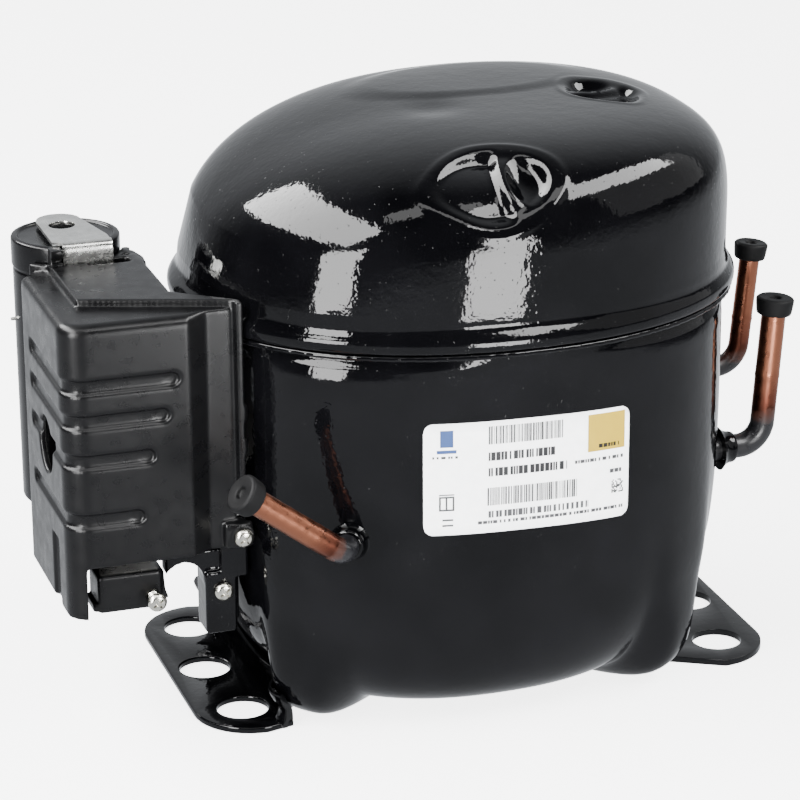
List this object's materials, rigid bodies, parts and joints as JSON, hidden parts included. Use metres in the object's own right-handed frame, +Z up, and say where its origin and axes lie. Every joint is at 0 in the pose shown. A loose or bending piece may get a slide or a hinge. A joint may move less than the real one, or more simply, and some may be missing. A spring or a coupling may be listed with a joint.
{
  "type": "hermetic compressor",
  "caption": "Hermetic refrigeration compressor: a domed black steel shell on two base plates, with a side terminal cover, round capacitor, rating label and plugged copper tubes.",
  "frame": {"origin": "centre of the mounting hole pattern, at the level of the base plates underside", "axes": "+X towards the suction and discharge tubes, -Y towards the label, +Z up along the crankshaft"},
  "size_m": [0.2599, 0.1691, 0.1941],
  "materials": {
    "black_paint": "glossy black paint",
    "black_plastic": "matte moulded plastic",
    "gloss_black": "smooth black plastic",
    "black_rubber": "moulded rubber",
    "copper": "drawn copper tube",
    "zinc_plate": "zinc plated",
    "label": "printed label",
    "cast_iron": "as cast",
    "machined_steel": "machined",
    "lamination_steel": "stacked laminations",
    "winding": "enamelled copper wire",
    "aluminium": "die cast",
    "rotor_steel": "turned laminations",
    "gasket": "fibre gasket",
    "white_plastic": "moulded plastic"
  },
  "bodies": {
    "housing": {"lower_housing": "black_paint", "upper_housing": "black_paint", "weld_bead": "black_paint", "base_plate_left": "black_paint", "base_plate_right": "black_paint", "terminal_bracket": "black_paint", "rating_label": "label", "terminal_seal": "machined_steel", "terminal_pin_1": "machined_steel", "terminal_pin_2": "machined_steel", "terminal_pin_3": "machined_steel", "terminal_cover": "black_plastic", "start_relay": "white_plastic", "overload_protector": "gloss_black", "start_capacitor": "gloss_black", "capacitor_strap": "zinc_plate", "cord_clamp": "black_plastic", "clamp_screw": "zinc_plate", "earth_screw": "zinc_plate", "cover_screw": "zinc_plate", "suction_tube": "copper", "discharge_tube": "copper", "process_tube": "copper", "spring_seat_1": "machined_steel", "spring_seat_2": "machined_steel", "spring_seat_3": "machined_steel", "spring_seat_4": "machined_steel"},
    "pump_frame": {"stator_core": "lamination_steel", "upper_winding": "winding", "lower_winding": "winding", "cylinder_block": "cast_iron", "valve_plate": "machined_steel", "head_gasket": "gasket", "cylinder_head": "aluminium", "suction_muffler": "white_plastic", "discharge_muffler": "machined_steel", "discharge_loop": "machined_steel", "head_bolt_1": "machined_steel", "head_bolt_2": "machined_steel", "head_bolt_3": "machined_steel", "head_bolt_4": "machined_steel", "suspension_spring_1": "machined_steel", "suspension_spring_2": "machined_steel", "suspension_spring_3": "machined_steel", "suspension_spring_4": "machined_steel"},
    "crankshaft": {"crankshaft": "machined_steel", "counterweight": "cast_iron", "rotor": "rotor_steel", "oil_pickup": "machined_steel"},
    "piston": {"piston": "cast_iron", "wrist_pin": "machined_steel"},
    "connecting_rod": {"connecting_rod": "aluminium"},
    "suction_reed": {"suction_reed": "machined_steel"},
    "discharge_reed": {"discharge_reed": "machined_steel"},
    "suction_plug": {"suction_plug": "black_rubber"},
    "discharge_plug": {"discharge_plug": "black_rubber"},
    "process_plug": {"process_plug": "black_rubber"}
  },
  "joints": [
    {"name": "pump_float", "type": "slide", "parent": "housing", "child": "pump_frame", "axis": [0, 0, 1], "range_m": [-0.003, 0.003], "stiffness_N_per_m": 20000, "springref_m": 0.00333, "deforming": ["suspension_spring_1", "suspension_spring_2", "suspension_spring_3", "suspension_spring_4", "discharge_loop"]},
    {"name": "crankshaft_spin", "type": "hinge", "parent": "pump_frame", "child": "crankshaft", "pos_m": [-0.006, 0, 0.1], "axis": [0, 0, 1], "continuous": true},
    {"name": "piston_stroke", "type": "slide", "parent": "pump_frame", "child": "piston", "axis": [1, 0, 0], "range_m": [-0.0133, 0]},
    {"name": "rod_swing", "type": "hinge", "parent": "piston", "child": "connecting_rod", "pos_m": [0.04365, 0, 0.152], "axis": [0, 0, 1], "range_deg": [-8.9, 8.9]},
    {"name": "suction_reed_lift", "type": "hinge", "parent": "pump_frame", "child": "suction_reed", "pos_m": [0.0558, -0.005, 0.162], "axis": [0, 1, 0], "range_deg": [0, 1.8], "stiffness_Nm_per_rad": 0.05},
    {"name": "discharge_reed_lift", "type": "hinge", "parent": "pump_frame", "child": "discharge_reed", "pos_m": [0.05965, 0.006, 0.162], "axis": [0, 1, 0], "range_deg": [-2.8, 0], "stiffness_Nm_per_rad": 0.05},
    {"name": "suction_plug_pull", "type": "slide", "parent": "housing", "child": "suction_plug", "axis": [0.077, 0, 0.997], "range_m": [0, 0.015]},
    {"name": "discharge_plug_pull", "type": "slide", "parent": "housing", "child": "discharge_plug", "axis": [0.1002, 0, 0.995], "range_m": [0, 0.015]},
    {"name": "process_plug_pull", "type": "slide", "parent": "housing", "child": "process_plug", "axis": [-0.7764, -0.15, 0.6121], "range_m": [0, 0.015]}
  ]
}
